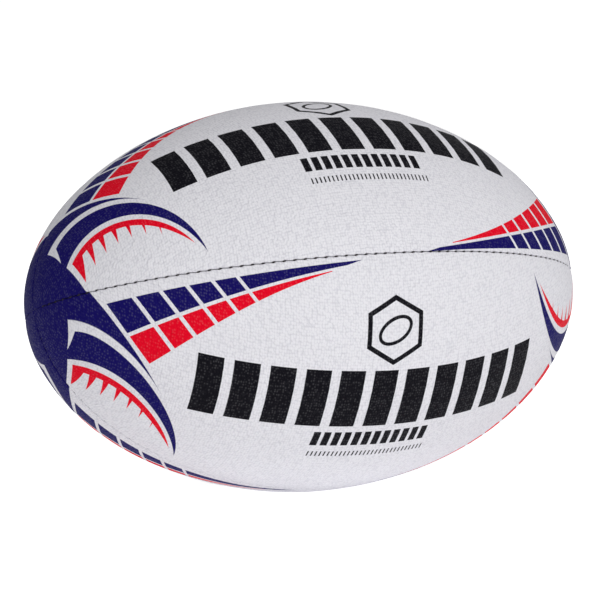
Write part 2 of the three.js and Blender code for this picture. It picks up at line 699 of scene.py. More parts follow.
class Pattern:
    """A node group that several materials share, built once. A child class draws it in build."""

    title = ""
    takes: dict[str, str] = {}
    gives: dict[str, str] = {}
    _made: dict[str, bpy.types.NodeTree] = {}

    @classmethod
    def group(cls) -> bpy.types.NodeTree:
        """Makes the group at its first use.

        Returns:
            The group.
        """
        if cls.title not in Pattern._made:
            tree = bpy.data.node_groups.new(cls.title, "ShaderNodeTree")
            for in_out, sockets in (("INPUT", cls.takes), ("OUTPUT", cls.gives)):
                for name, kind in sockets.items():
                    socket_type = f"NodeSocket{kind}"
                    tree.interface.new_socket(name=name, in_out=in_out, socket_type=socket_type)
            source = tree.nodes.new("NodeGroupInput")
            sink = tree.nodes.new("NodeGroupOutput")
            graph = Graph(tree)
            inputs = {name: Field(graph, source.outputs[name]) for name in cls.takes}
            for name, value in cls().build(graph, inputs).items():
                graph.put(sink.inputs[name], value)
            Pattern._made[cls.title] = tree
        return Pattern._made[cls.title]

    def build(self, graph: Graph, inputs: dict[str, Field]) -> dict[str, Field]:
        """Draws the pattern.

        Args:
            graph: graph of the group.
            inputs: the group's inputs, by name.

        Returns:
            The group's outputs, by name.
        """
        raise NotImplementedError


# ---- Patterns of the surfaces ------------------------------------------------------------------


class PimpleGrain(Pattern):
    """Small uneven pimples that are moulded into the cover for grip."""

    title = "pimple_grain"
    takes = {"Place": "Vector", "Size": "Float"}
    gives = {"Height": "Float", "Valley": "Float", "Crown": "Float"}

    drift_size = 3 * MM
    drift_reach = 0.6 * MM
    randomness = 0.5
    roundness = 1.4
    fine_size = 0.6 * MM
    fine_height = 0.25
    valley_edge = 0.56
    crown_edge = 0.3
    softness = 0.3

    def build(self, graph: Graph, inputs: dict[str, Field]) -> dict[str, Field]:
        """Cells of a disturbed foam; see Pattern.build."""
        drift = graph.node("TexNoise")
        graph.put(drift.inputs["Vector"], inputs["Place"])
        drift.inputs["Scale"].default_value = 1 / self.drift_size
        drift.inputs["Detail"].default_value = 1.0
        shift = graph.vector("SUBTRACT", Field(graph, drift.outputs["Color"]), (0.5, 0.5, 0.5))
        shift = graph.vector("SCALE", shift, scale=self.drift_reach)
        moved = graph.vector("ADD", inputs["Place"], shift)
        cells = graph.node("TexVoronoi", feature="F1")
        cells.inputs["Randomness"].default_value = self.randomness
        graph.put(cells.inputs["Vector"], moved)
        graph.put(cells.inputs["Scale"], 1.0 / inputs["Size"])
        distance = Field(graph, cells.outputs["Distance"])
        fine = graph.noise(inputs["Place"], self.fine_size)
        rounded_top = 1.0 - distance * distance * self.roundness
        return {
            "Height": rounded_top + fine * self.fine_height,
            "Valley": distance.above(self.valley_edge, self.softness),
            "Crown": distance.below(self.crown_edge, self.softness),
        }


class ClothWeave(Pattern):
    """Plain weave, with threads that pass over and under each other in turn."""

    title = "cloth_weave"
    takes = {"Place": "Vector", "Pitch": "Float"}
    gives = {"Height": "Float", "Gap": "Float"}

    crossing_softness = 0.4
    gap_edge = 0.5
    gap_softness = 0.5

    def build(self, graph: Graph, inputs: dict[str, Field]) -> dict[str, Field]:
        """Two crossed sets of round threads; see Pattern.build."""
        across, along = graph.split(inputs["Place"])
        turn_across = across / inputs["Pitch"] * math.pi
        turn_along = along / inputs["Pitch"] * math.pi
        sine_across = graph.math("SINE", turn_across)
        sine_along = graph.math("SINE", turn_along)
        over = (sine_across * sine_along).above(0.0, self.crossing_softness)
        warp = abs(sine_across)
        weft = abs(sine_along)
        crown = warp * over + weft * ~over
        return {"Height": crown, "Gap": (warp | weft).below(self.gap_edge, self.gap_softness)}


class Blotches(Pattern):
    """Uneven tone: broad clouds and finer mottling."""

    title = "blotches"
    takes = {"Place": "Vector"}
    gives = {"Broad": "Float", "Fine": "Float"}

    broad_size = 45 * MM
    broad_detail = 3.0
    fine_size = 3 * MM
    fine_detail = 4.0
    fine_roughness = 0.6

    def build(self, graph: Graph, inputs: dict[str, Field]) -> dict[str, Field]:
        """Two scales of noise; see Pattern.build."""
        place = inputs["Place"]
        return {
            "Broad": graph.noise(place, self.broad_size, self.broad_detail),
            "Fine": graph.noise(place, self.fine_size, self.fine_detail, self.fine_roughness),
        }


class PanelFold(Pattern):
    """Turns the plus half of a panel onto the minus half, as the print is the same half a turn on.

    Place is the length from the belly and the height above the print's midline, and Seams the
    distance from the first and from the second seam. All lengths come in metres and leave in
    millimetres.
    """

    title = "panel_fold"
    takes = {"Place": "Vector", "Seams": "Vector"}
    gives = {"Folded": "Vector", "Seam": "Float", "Upright": "Vector"}

    fold_softness = 1e-6

    def build(self, graph: Graph, inputs: dict[str, Field]) -> dict[str, Field]:
        """Signs and distances; see Pattern.build."""
        upright = graph.vector("SCALE", inputs["Place"], scale=1 / MM)
        along, up = graph.split(upright)
        first, second = graph.split(graph.vector("SCALE", inputs["Seams"], scale=1 / MM))
        side = graph.math("SIGN", along)
        turned = along.above(0.0, self.fold_softness)
        folded = graph.join(abs(along) * -1.0, up * side * -1.0)
        seam = first * ~turned + second * turned
        return {"Folded": folded, "Seam": seam, "Upright": upright}


@dataclass(frozen=True)
class OvalPatch:
    """An oval of the print, in millimetres and degrees."""

    centre: Corner
    half_sizes: Corner
    turn: float = 0.0

    def mask(self, graph: Graph, place: Field) -> Field:
        """Draws the oval.

        Args:
            graph: graph of the group.
            place: place on the print.

        Returns:
            Mask of the oval's inside.
        """
        mapping = graph.node("Mapping", vector_type="TEXTURE")
        graph.put(mapping.inputs["Vector"], place)
        mapping.inputs["Location"].default_value = (*self.centre, 0.0)
        mapping.inputs["Rotation"].default_value = (0.0, 0.0, math.radians(self.turn))
        mapping.inputs["Scale"].default_value = (*self.half_sizes, 1.0)
        share = graph.length(Field(graph, mapping.outputs[0]))
        return share.below(1.0, PRINT_EDGE / min(self.half_sizes))


@dataclass(frozen=True)
class StraightEdge:
    """A straight edge of the print between an upper and a lower point, in millimetres."""

    upper: Corner
    lower: Corner

    def right(self, graph: Graph, place: Field) -> Field:
        """Draws the edge.

        Args:
            graph: graph of the group.
            place: place on the print.

        Returns:
            Mask of what lies to the right of the edge.
        """
        along, up = graph.split(place)
        slope = (self.lower[0] - self.upper[0]) / (self.lower[1] - self.upper[1])
        offset = graph.math("MULTIPLY_ADD", up, -slope, along)
        return offset.above(self.upper[0] - slope * self.upper[1])


class EndCap(Pattern):
    """Navy cap round a point of the ball, with a white sickle and a red toothed sickle."""

    title = "end_cap"
    takes = {"Place": "Vector"}
    gives = {"Navy": "Float", "Red": "Float"}

    cap = OvalPatch((-242, -110.5), (168.4, 168.4))
    white_sickle = OvalPatch((-146, -285.8), (100, 300))
    navy_outer = OvalPatch((-130.6, -45.8), (37.9, 59.2), 26.5)
    navy_inner = OvalPatch((-131.6, -82.3), (49.6, 79.4), 9.8)
    red_outer = OvalPatch((-131.85, -70.54), (44.77, 64.49), 14.05)
    sickle_start = StraightEdge((-161.5, 9.5), (-159.3, -3.8))
    sickle_foot = StraightEdge((-157, 7.3), (-159.3, -3.8))
    mouth_start = StraightEdge((-157.5, -9), (-150.5, -28.5))
    red_start = StraightEdge((-154, -10.4), (-149.3, -25.5))
    gum_top = (-139.5, -10.7)
    gum_curve = 0.0159
    first_tooth = -149.3
    last_tooth = -107.9
    tooth_pitch = 6.9
    tooth_width = 4.2
    tooth_narrowing = 0.085
    tooth_length = 13.0
    tooth_shortening = 0.215

    def build(self, graph: Graph, inputs: dict[str, Field]) -> dict[str, Field]:
        """Ovals, straight edges and a row of teeth; see Pattern.build."""
        place = inputs["Place"]
        outer = self.navy_outer.mask(graph, place)
        foot = ~self.sickle_foot.right(graph, place) | ~outer
        start = self.sickle_start.right(graph, place)
        sickle = self.white_sickle.mask(graph, place) & start & foot
        mouth = self.navy_inner.mask(graph, place) & self.mouth_start.right(graph, place)
        navy = (self.cap.mask(graph, place) | outer) & ~sickle & ~mouth
        red = self.red_outer.mask(graph, place) & self.red_start.right(graph, place)
        return {"Navy": navy, "Red": red & self.gum(graph, place)}

    def gum(self, graph: Graph, place: Field) -> Field:
        """Draws the lower edge of the red sickle and its teeth, shorter and slimmer to the right.

        Args:
            graph: graph of the group.
            place: place on the print.

        Returns:
            Mask of what lies above the edge or in a tooth that hangs from it.
        """
        along, up = graph.split(place)
        from_top = along - self.gum_top[0]
        below = self.gum_top[1] - from_top * from_top * self.gum_curve - up
        past = along - self.first_tooth
        slot = (graph.math("MAXIMUM", past, 0.0) / self.tooth_pitch + 0.5).fraction() - 0.5
        length = self.tooth_length - past * self.tooth_shortening
        half_width = (self.tooth_width - past * self.tooth_narrowing) * 0.5
        tooth = half_width * (1.0 - below / length) - abs(slot) * self.tooth_pitch
        tooth_mask = tooth.above() & along.below(self.last_tooth + self.tooth_pitch / 2)
        return below.below() | tooth_mask


class BlockBand(Pattern):
    """Two tapering bands along a seam, cut into slanted blocks at their wide end.

    Far is the distance from the belly and Seam the distance from the seam, in millimetres.
    """

    title = "block_band"
    takes = {"Far": "Float", "Seam": "Float"}
    gives = {"Blue": "Float", "Red": "Float"}

    blue_tip = 17.6
    red_tip = 33.1
    seam_margin = 2.65
    start_width = 1.15
    band_gap = 1.2
    red_margin = 7.15
    near_slope = 0.0375
    start_slope = 0.15
    middle_slope = 0.105
    middle_curve = 0.00058
    gap_slope = 0.009
    red_slope = 0.205
    red_curve = 0.00215
    slant_slope = 0.63
    slant_curve = 0.0012
    count_start = 13.96
    count_scale = 2.0
    count_shift = 51.6
    block_share = 0.838
    blocks = 5
    first_edge = -0.1
    first_cut = 0.5
    cut_softness = 0.014

    def build(self, graph: Graph, inputs: dict[str, Field]) -> dict[str, Field]:
        """Curved edges and blocks; see Pattern.build."""
        far, seam = inputs["Far"], inputs["Seam"]
        past_blue = far - self.blue_tip
        past_red = far - self.red_tip
        near_edge = past_blue * self.near_slope + self.seam_margin
        start = graph.math("MINIMUM", past_blue * self.start_slope, self.start_width)
        middle = past_blue * (past_blue * self.middle_curve + self.middle_slope)
        middle = middle + start + self.seam_margin
        red_edge = middle + past_red * self.gap_slope + self.band_gap
        far_edge = past_red * (past_red * self.red_curve + self.red_slope) + self.red_margin
        slant = far + seam * (seam * self.slant_curve + self.slant_slope)
        count = (self.count_start - (slant + self.count_shift).root()) * self.count_scale
        block = count.fraction().below(self.block_share, self.cut_softness)
        whole = count.below(self.first_cut) | count.above(self.blocks, self.cut_softness)
        inked = (block | whole) & count.above(self.first_edge, self.cut_softness)
        blue = (seam - near_edge).above() & (middle - seam).above() & past_blue.above()
        red = (seam - red_edge).above() & (far_edge - seam).above() & past_red.above()
        return {"Blue": blue & inked, "Red": red & inked}


@dataclass(frozen=True)
class BarRow:
    """A row of upright bars of the print, in millimetres."""

    ends: Corner
    edges: Corner
    pitch: float
    width: float
    offset: float = 0.1

    def mask(self, along: Field, up: Field) -> Field:
        """Draws the row.

        Args:
            along: place along the panel.
            up: place across the panel.

        Returns:
            Mask of the bars.
        """
        past = along - self.ends[0]
        bar = ((past / self.pitch).fraction() * self.pitch).between(self.offset, self.width)
        row = past.between(0, self.ends[1] - self.ends[0]) & up.between(*self.edges)
        return bar & row


class PlainMarks(Pattern):
    """Plain bars and a six-sided badge where a maker prints marks, in millimetres."""

    title = "plain_marks"
    takes = {"Place": "Vector"}
    gives = {"Ink": "Float"}

    badge_centre = (-2.0, 38.5)
    badge_size = 14.5
    badge_line = 2.3
    oval = OvalPatch(badge_centre, (9.6, 6.2), 30.0)
    oval_hole = OvalPatch(badge_centre, (7.9, 4.5), 30.0)
    bars = (
        BarRow((-96, 91), (-11.3, 19.2), 17.0, 12.4),
        BarRow((-34, 28.4), (-24, -15), 5.2, 3.6),
        BarRow((-33, 30), (-32, -28.4), 2.1, 0.8),
    )

    def build(self, graph: Graph, inputs: dict[str, Field]) -> dict[str, Field]:
        """Rows of bars and an outlined badge; see Pattern.build."""
        along, up = graph.split(inputs["Place"])
        ink = self.badge(graph, along, up)
        for row in self.bars:
            ink = ink | row.mask(along, up)
        return {"Ink": ink}

    def badge(self, graph: Graph, along: Field, up: Field) -> Field:
        """Draws a six-sided badge round a small oval ball.

        Args:
            graph: graph of the group.
            along: place along the panel.
            up: place across the panel.

        Returns:
            Mask of the outlines.
        """
        across = abs(along - self.badge_centre[0])
        above = abs(up - self.badge_centre[1])
        rim = (across * 0.5 + above * (math.sqrt(3) / 2)) | across
        ring = rim.between(self.badge_size - self.badge_line, self.badge_size)
        place = graph.join(along, up)
        return ring | (self.oval.mask(graph, place) & ~self.oval_hole.mask(graph, place))


# ---- Finishes ----------------------------------------------------------------------------------


@dataclass(frozen=True)
class Finish:
    """A finish, which a child class draws in dress."""

    name: str = "finish"
    roughness: float = 0.5
    gloss: float = 0.3

    def material(self) -> bpy.types.Material:
        """Makes the finish's material.

        Returns:
            The material.
        """
        made = bpy.data.materials.new(self.name)
        made.use_nodes = True
        made.node_tree.nodes.clear()
        graph = Graph(made.node_tree)
        shader = graph.node("BsdfPrincipled")
        shader.inputs["Roughness"].default_value = self.roughness
        shader.inputs["Specular IOR Level"].default_value = self.gloss
        output = graph.node("OutputMaterial")
        made.node_tree.links.new(shader.outputs[0], output.inputs[0])
        self.dress(graph, shader)
        return made

    def dress(self, graph: Graph, shader: bpy.types.Node) -> None:
        """Adds the finish's nodes.

        Args:
            graph: graph of the material.
            shader: its Principled BSDF.
        """
        raise NotImplementedError


@dataclass(frozen=True)
class PrintedCover(Finish):
    """White pimpled rubber with the ball's print."""

    name: str = "printed_cover_rubber"
    roughness: float = 0.56
    gloss: float = 0.045
    white: Colour = paint(232, 231, 236)
    # Grey white for the painted shade in the grain's valleys, and for the broad uneven tone.
    valley_white: Colour = paint(206, 205, 213)
    navy: Colour = paint(19, 12, 92)
    red: Colour = paint(228, 2, 36)
    black: Colour = paint(16, 15, 22)
    pimple_size: float = 1.25 * MM
    pimple_squat: float = 0.85
    pimple_height: float = 0.3 * MM
    # Strength of the painted shade in the grain's valleys.
    valley_share: float = 0.62
    valley_roughness: float = 0.12
    broad_share: float = 0.12
    fine_roughness: float = 0.12
    ink_smoothness: float = 0.04
    # Painted highlight: how much the ink is lightened on the pimples' crowns.
    crown_wear: float = 0.045
    wear: float = 0.015
    wear_edge: float = 0.66
    wear_softness: float = 0.2

    def dress(self, graph: Graph, shader: bpy.types.Node) -> None:
        """See Finish.dress."""
        squat = (1.0, self.pimple_squat, 1.0)
        flat_place = graph.vector("MULTIPLY", graph.surface_map("PanelMap"), squat)
        grain = graph.use(PimpleGrain.group(), Place=flat_place, Size=self.pimple_size)
        blotch = graph.use(Blotches.group(), Place=graph.object_place())
        fold = graph.use(
            PanelFold.group(),
            Place=graph.surface_map("PanelMap"),
            Seams=graph.surface_map("SeamMap"),
        )
        cap = graph.use(EndCap.group(), Place=fold["Folded"])
        folded_along, _ = graph.split(fold["Folded"])
        band = graph.use(BlockBand.group(), Far=folded_along * -1.0, Seam=fold["Seam"])
        marks = graph.use(PlainMarks.group(), Place=fold["Upright"])
        # Painted highlight on the pimples' crowns, where less of the ink shows.
        ink_left_under_crown_highlight = 1.0 - grain["Crown"] * self.crown_wear
        worn = blotch["Fine"].above(self.wear_edge, self.wear_softness) * self.wear
        # Painted shade darkens the grain's valleys; the broad clouds on the next line are uneven
        # tone.
        base = graph.blend(grain["Valley"] * self.valley_share, self.white, self.valley_white)
        base = graph.blend(blotch["Broad"] * self.broad_share, base, self.valley_white)
        inked = graph.blend((cap["Navy"] | band["Blue"]) * ink_left_under_crown_highlight, base, self.navy)
        inked = graph.blend((cap["Red"] | band["Red"]) * ink_left_under_crown_highlight, inked, self.red)
        inked = graph.blend(marks["Ink"] * ink_left_under_crown_highlight, inked, self.black)
        graph.put(shader.inputs["Base Color"], graph.blend(worn, inked, base))
        ink = cap["Navy"] | band["Blue"] | cap["Red"] | band["Red"] | marks["Ink"]
        rough = (blotch["Fine"] - 0.5) * self.fine_roughness + self.roughness
        rough = rough + grain["Valley"] * self.valley_roughness - ink * self.ink_smoothness
        graph.put(shader.inputs["Roughness"], rough)
        graph.put(shader.inputs["Normal"], graph.bump(grain["Height"], self.pimple_height))


@dataclass(frozen=True)
class ClothPressedRubber(Finish):
    """Inside of the cover, with the print of the cloth that was pressed into it."""

    name: str = "cloth_pressed_rubber"
    roughness: float = 0.75
    rubber: Colour = paint(203, 200, 190)
    # Darker colour for the painted shade in the weave's gaps and for the fine mottling.
    gap_shade_and_mottle: Colour = paint(176, 172, 160)
    weave_pitch: float = 0.7 * MM
    weave_height: float = 0.06 * MM
    weave_shade_share: float = 0.6
    fine_roughness: float = 0.2

    def dress(self, graph: Graph, shader: bpy.types.Node) -> None:
        """See Finish.dress."""
        place = graph.surface_map("PanelMap")
        weave = graph.use(ClothWeave.group(), Place=place, Pitch=self.weave_pitch)
        blotch = graph.use(Blotches.group(), Place=graph.object_place())
        # Painted shade in the gaps of the pressed weave, mixed with uneven fine mottling.
        weave_shade_and_mottle = weave["Gap"] * self.weave_shade_share + blotch["Fine"] * (1 - self.weave_shade_share)
        graph.put(shader.inputs["Base Color"], graph.blend(weave_shade_and_mottle, self.rubber, self.gap_shade_and_mottle))
        rough = (blotch["Fine"] - 0.5) * self.fine_roughness + self.roughness
        graph.put(shader.inputs["Roughness"], rough)
        graph.put(shader.inputs["Normal"], graph.bump(weave["Height"], self.weave_height))


@dataclass(frozen=True)
class LiningCloth(Finish):
    """Unbleached polyester and cotton cloth with the latex that bonds it."""

    name: str = "lining_cloth"
    roughness: float = 0.85
    yarn: Colour = paint(214, 205, 184)
    # Colour of the painted shade in the weave's gaps, and of the fine mottling.
    shade: Colour = paint(160, 148, 124)
    latex: Colour = paint(226, 219, 196)
    weave_pitch: float = 0.7 * MM
    weave_height: float = 0.12 * MM
    weave_shade_share: float = 0.8
    latex_share: float = 0.6
    latex_edge: float = 0.56
    latex_softness: float = 0.12
    latex_smoothness: float = 0.3
    latex_fill: float = 0.7

    def dress(self, graph: Graph, shader: bpy.types.Node) -> None:
        """See Finish.dress."""
        place = graph.surface_map("PanelMap")
        weave = graph.use(ClothWeave.group(), Place=place, Pitch=self.weave_pitch)
        blotch = graph.use(Blotches.group(), Place=graph.object_place())
        # Painted shade in the weave's gaps, mixed with uneven fine mottling.
        weave_shade_and_mottle = weave["Gap"] * self.weave_shade_share + blotch["Fine"] * (1 - self.weave_shade_share)
        yarn = graph.blend(weave_shade_and_mottle, self.yarn, self.shade)
        soaked = blotch["Broad"].above(self.latex_edge, self.latex_softness) * self.latex_share
        height = weave["Height"] * (1.0 - soaked * self.latex_fill)
        graph.put(shader.inputs["Base Color"], graph.blend(soaked, yarn, self.latex))
        graph.put(shader.inputs["Roughness"], self.roughness - soaked * self.latex_smoothness)
        graph.put(shader.inputs["Normal"], graph.bump(height, self.weave_height))


@dataclass(frozen=True)
class WaxedThread(Finish):
    """Dark waxed sewing thread of two twisted strands."""

    name: str = "waxed_thread"
    roughness: float = 0.6
    strand: Colour = paint(62, 55, 60)
    # Painted shade in the furrows between the twisted strands.
    furrow_shade: Colour = paint(24, 20, 24)
    twist_pitch: float = 1.1 * MM
    twist_height: float = 0.1 * MM
    fine_roughness: float = 0.3

    def dress(self, graph: Graph, shader: bpy.types.Node) -> None:
        """See Finish.dress."""
        along, around = graph.split(graph.surface_map("ThreadMap"))
        turn = (along / self.twist_pitch + around) * (2 * math.pi)
        strand = abs(graph.math("SINE", turn))
        blotch = graph.use(Blotches.group(), Place=graph.object_place())
        # The furrows between the strands are painted darker: painted shade.
        graph.put(shader.inputs["Base Color"], graph.blend(strand, self.furrow_shade, self.strand))
        rough = (blotch["Fine"] - 0.5) * self.fine_roughness + self.roughness
        graph.put(shader.inputs["Roughness"], rough)
        graph.put(shader.inputs["Normal"], graph.bump(strand, self.twist_height))


@dataclass(frozen=True)
class MouldedRubber(Finish):
    """Soft dark rubber with the dust that keeps it from sticking."""

    name: str = "moulded_rubber"
    roughness: float = 0.5
    rubber: Colour = paint(33, 32, 35)
    dust: Colour = paint(120, 118, 116)
    dustiness: float = 0.3
    dust_edge: float = 0.5
    fine_softness: float = 0.3
    broad_softness: float = 0.4
    dust_roughness: float = 0.5
    mottle_height: float = 0.05 * MM

    def dress(self, graph: Graph, shader: bpy.types.Node) -> None:
        """See Finish.dress."""
        blotch = graph.use(Blotches.group(), Place=graph.object_place())
        fine = blotch["Fine"].above(self.dust_edge, self.fine_softness)
        broad = blotch["Broad"].above(self.dust_edge, self.broad_softness)
        dusty = (fine & broad) * self.dustiness
        graph.put(shader.inputs["Base Color"], graph.blend(dusty, self.rubber, self.dust))
        graph.put(shader.inputs["Roughness"], dusty * self.dust_roughness + self.roughness)
        graph.put(shader.inputs["Normal"], graph.bump(blotch["Fine"], self.mottle_height))


# ---- The sub-assemblies ------------------------------------------------------------------------


@dataclass(frozen=True)
class PrintLay:
    """How a panel's print lies on it, since a sewn panel never stretches quite evenly.

    The turn is in degrees, and the twist in degrees a millimetre along the minus half.
    """

    turn: float = 0.0
    twist: float = 0.0
    width_share: float = 1.0

    def height(self, length: float, angle: float, girth: float) -> float:
        """Height above the print's midline.

        Args:
            length: place along the ball, from the belly.
            angle: angle from the panel's first seam.
            girth: distance from the ball's axis.

        Returns:
            The height on the flat print.
        """
        turn = math.radians(self.turn + self.twist * min(length, 0.0) / MM)
        return girth * (QUARTER / 2 - angle + turn) / self.width_share


@dataclass
class CoverPanel:
    """One leaf of the cover, with its edges turned in along both seams."""

    shape: BallShape
    stitching: Stitching
    side: Side
    lay: PrintLay = PrintLay()
    thickness: float = 1.2 * MM
    turn_depth: float = 4.6 * MM
    turn_thickness: float = 1.3 * MM
    fold_radius: float = 0.85 * MM
    inner_fold: float = 0.4 * MM
    inner_corner: float = 0.3
    steepest: float = 0.62
    end_gap: float = 0.1 * MM
    lip_steps: tuple[float, ...] = (3.6 * MM, 2.8 * MM, 2.05 * MM)
    fold_facets: int = 5
    outer_facets: int = 28
    inner_facets: int = 14
    edge_crowding: float = 0.75
    bake_strip: float = 0.08
    bake_gap: float = 0.02

    def __post_init__(self) -> None:
        """Spaces the rows so that every stitch has the same number of them."""
        pitch = self.stitching.pitch / self.stitching.steps
        self.rows = 2 * round((self.shape.reach - self.end_gap) / pitch)
        self._sections: dict[int, list[Corner]] = {}

    def place_along(self, row: int) -> float:
        """Length from the belly to a row of corners."""
        reach = self.shape.reach - self.end_gap
        return -reach + 2 * reach * row / self.rows

    def edge_angle(self, length: float, away: float, depth: float) -> float:
        """Angle from a seam to a point beside it.

        Args:
            length: place along the ball.
            away: distance from the plane through the seam.
            depth: depth below the outside.

        Returns:
            The angle about the ball's axis.
        """
        _, out = self.shape.outline(length, depth)
        return math.asin(min(away / out, self.steepest))

    def flank(self, length: float, lean: float) -> tuple[list[Corner], list[Corner]]:
        """Corners of one turned-in edge, as the angle from its seam and the depth.

        Args:
            length: place along the ball.
            lean: how far the thread pushes the edge into the panel.

        Returns:
            The corners of its outer face and those of its inner face, each from the foot up.
        """
        girth = self.shape.outline(length)[1]
        share = self.stitching.share(girth)
        sewn = self.stitching.sewn(length, self.shape.reach)
        free = self.stitching.closed_gap * share
        held = self.stitching.half_width(length) + self.stitching.clearance + lean
        near = free + (held - free) * sewn
        fold = self.fold_radius * share
        far = near + self.turn_thickness * share
        outer = [(near, self.turn_depth)] + [(near, depth) for depth in self.lip_steps]
        for step in range(self.fold_facets + 1):
            bend = QUARTER * step / self.fold_facets
            away = near + fold * (1 - math.cos(bend))
            dip = self.stitching.sink(length, away, share)
            outer.append((away, fold * (1 - math.sin(bend)) + dip))
        inner = [(far, self.turn_depth), (far, self.lip_steps[0]), (far, self.lip_steps[2])]
        bend = self.inner_fold * share
        corner = bend * self.inner_corner
        inner.append((far, self.thickness + bend))
        inner.append((far + corner, self.thickness + corner))
        inner.append((far + bend, self.thickness))
        turned = [
            [(self.edge_angle(length, *spot), spot[1]) for spot in face] for face in (outer, inner)
        ]
        return turned[0], turned[1]

    def section(self, row: int) -> list[Corner]:
        """Draws the panel's section at a row.

        Args:
            row: the row of corners.

        Returns:
            Its corners, as the angle from the panel's first seam and the depth.
        """
        if row not in self._sections:
            length = self.place_along(row)
            girth = self.shape.outline(length)[1]
            share = self.stitching.share(girth)
            lean = self.stitching.lean(length)
            outer_first, inner_first = self.flank(length, lean)
            outer_last, inner_last = self.flank(length, -lean)
            low, high = outer_first[-1][0], QUARTER - outer_last[-1][0]
            outside: list[Corner] = []
            for step in range(1, self.outer_facets):
                part = step / self.outer_facets
                part -= self.edge_crowding * math.sin(2 * math.pi * part) / (2 * math.pi)
                angle = low + (high - low) * part
                dip = self.stitching.sink(length, girth * angle, share)
                dip += self.stitching.sink(length, girth * (QUARTER - angle), share)
                outside.append((angle, dip))
            low, high = inner_first[-1][0], QUARTER - inner_last[-1][0]
            inside: list[Corner] = []
            for step in range(1, self.inner_facets):
                angle = high + (low - high) * step / self.inner_facets
                inside.append((angle, self.thickness))
            outer_last = [(QUARTER - angle, depth) for angle, depth in outer_last]
            inner_last = [(QUARTER - angle, depth) for angle, depth in inner_last]
            ring = outer_first + outside + outer_last[::-1]
            ring += inner_last + inside + inner_first[::-1]
            self._sections[row] = ring + ring[:1]
        return self._sections[row]

    def mesh(self) -> bmesh.types.BMesh:
        """Shapes the panel and lays the maps that its print and its baking use.

        Returns:
            Its closed mesh.
        """
        start = self.shape.start(self.side)
        columns = len(self.section(0)) - 1
        fold_columns = len(self.lip_steps) + self.fold_facets + 1
        outer_columns = 2 * fold_columns + self.outer_facets
        lengths = [self.place_along(row) for row in range(self.rows + 1)]
        girths = [self.shape.outline(length)[1] for length in lengths]

        def place(column: int, row: int) -> Vector:
            """Places a corner.

            Args:
                column: its column.
                row: its row.

            Returns:
                Its position.
            """
            angle, depth = self.section(row)[column]
            swell = self.shape.swell(lengths[row], start + angle)
            return self.shape.point(lengths[row], start + angle, depth - swell)

        def panel_map(_: int, column: int, row: int) -> Corner:
            """Length from the belly and height above the print's midline."""
            angle = self.section(row)[column][0]
            return lengths[row], self.lay.height(lengths[row], angle, girths[row])

        def seam_map(_: int, column: int, row: int) -> Corner:
            """Distances from the first and the second seam that the print was laid out for."""
            height, middle = panel_map(0, column, row)[1], girths[row] * QUARTER / 2
            return middle - height, middle + height

        def bake_map(face_column: int, column: int, row: int) -> Corner:
            """Places a face's corner in a baked picture, with the inside in a strip at the foot.

            Args:
                face_column: column of the face.
                column: column of the corner.
                row: row of the corner.

            Returns:
                The place in the picture's square.
            """
            if face_column < outer_columns:
                share = column / outer_columns
                return row / self.rows, self.bake_strip + (1 - self.bake_strip) * share
            share = (column - outer_columns) / (columns - outer_columns)
            return row / self.rows, (self.bake_strip - self.bake_gap) * (1 - share)

        maps = {"PanelMap": panel_map, "SeamMap": seam_map, "OFBake": bake_map}
        return wrapped_grid(columns, self.rows, place, maps, range(outer_columns, columns))

    def build(self, outside: bpy.types.Material, inside: bpy.types.Material) -> bpy.types.Object:
        """Makes the panel.

        Args:
            outside: material of the printed side.
            inside: material of the bonded side.

        Returns:
            The new piece.
        """
        name = f"{self.side.label}_cover_panel"
        node = f"cover_panel_{self.side.label}"
        return new_piece(name, self.mesh(), [outside, inside], node)


@dataclass
class SeamThread:
    """The thread of one seam, which rises between the two panels at every stitch."""

    shape: BallShape
    stitching: Stitching
    side: Side
    facets_round: int = 8
    end_taper: float = 2 * MM
    end_share: float = 0.35
    crease: float = 80.0

    def place_along(self, row: int, rows: int) -> float:
        """Length from the belly to a row of corners."""
        reach = self.shape.reach - self.stitching.bare_end
        return -reach + 2 * reach * row / rows

    def build(self, material: bpy.types.Material) -> bpy.types.Object:
        """Makes the thread.

        Args:
            material: its material.

        Returns:
            The new piece.
        """
        stitching = self.stitching
        start = self.shape.start(self.side)
        reach = self.shape.reach - stitching.bare_end
        rows = 2 * round(reach / stitching.pitch * stitching.steps)

        def place(column: int, row: int) -> Vector:
            """Places a corner.

            Args:
                column: its column.
                row: its row.

            Returns:
                Its position.
            """
            length = self.place_along(row, rows)
            turn = 2 * math.pi * (column % self.facets_round) / self.facets_round
            full = ramp(0, self.end_taper, reach - abs(length))
            taper = self.end_share + (1 - self.end_share) * full
            share = stitching.share(self.shape.outline(length)[1])
            rise = stitching.stitch(length)
            depth = stitching.low_depth + (stitching.high_depth - stitching.low_depth) * rise
            depth += stitching.sink(length, 0.0, share)
            depth -= self.shape.swell(length, start)
            depth -= stitching.half_height * taper * math.sin(turn)
            half_width = stitching.half_width(length) * taper
            across = stitching.lean(length) + half_width * math.cos(turn)
            out = self.shape.outline(length, depth)[1]
            return self.shape.point(length, start + math.asin(across / out), depth)

        def thread_map(_: int, column: int, row: int) -> Corner:
            """Length along the thread and share of a turn round it."""
            return self.place_along(row, rows), column / self.facets_round

        def bake_map(_: int, column: int, row: int) -> Corner:
            """Place in the square of a baked picture."""
            return row / rows, column / self.facets_round

        maps = {"ThreadMap": thread_map, "OFBake": bake_map}
        bm = wrapped_grid(self.facets_round, rows, place, maps)
        name = f"{self.side.seam}_seam_thread"
        node = f"seam_thread_{self.side.seam}"
        return new_piece(name, bm, [material], node, self.crease)


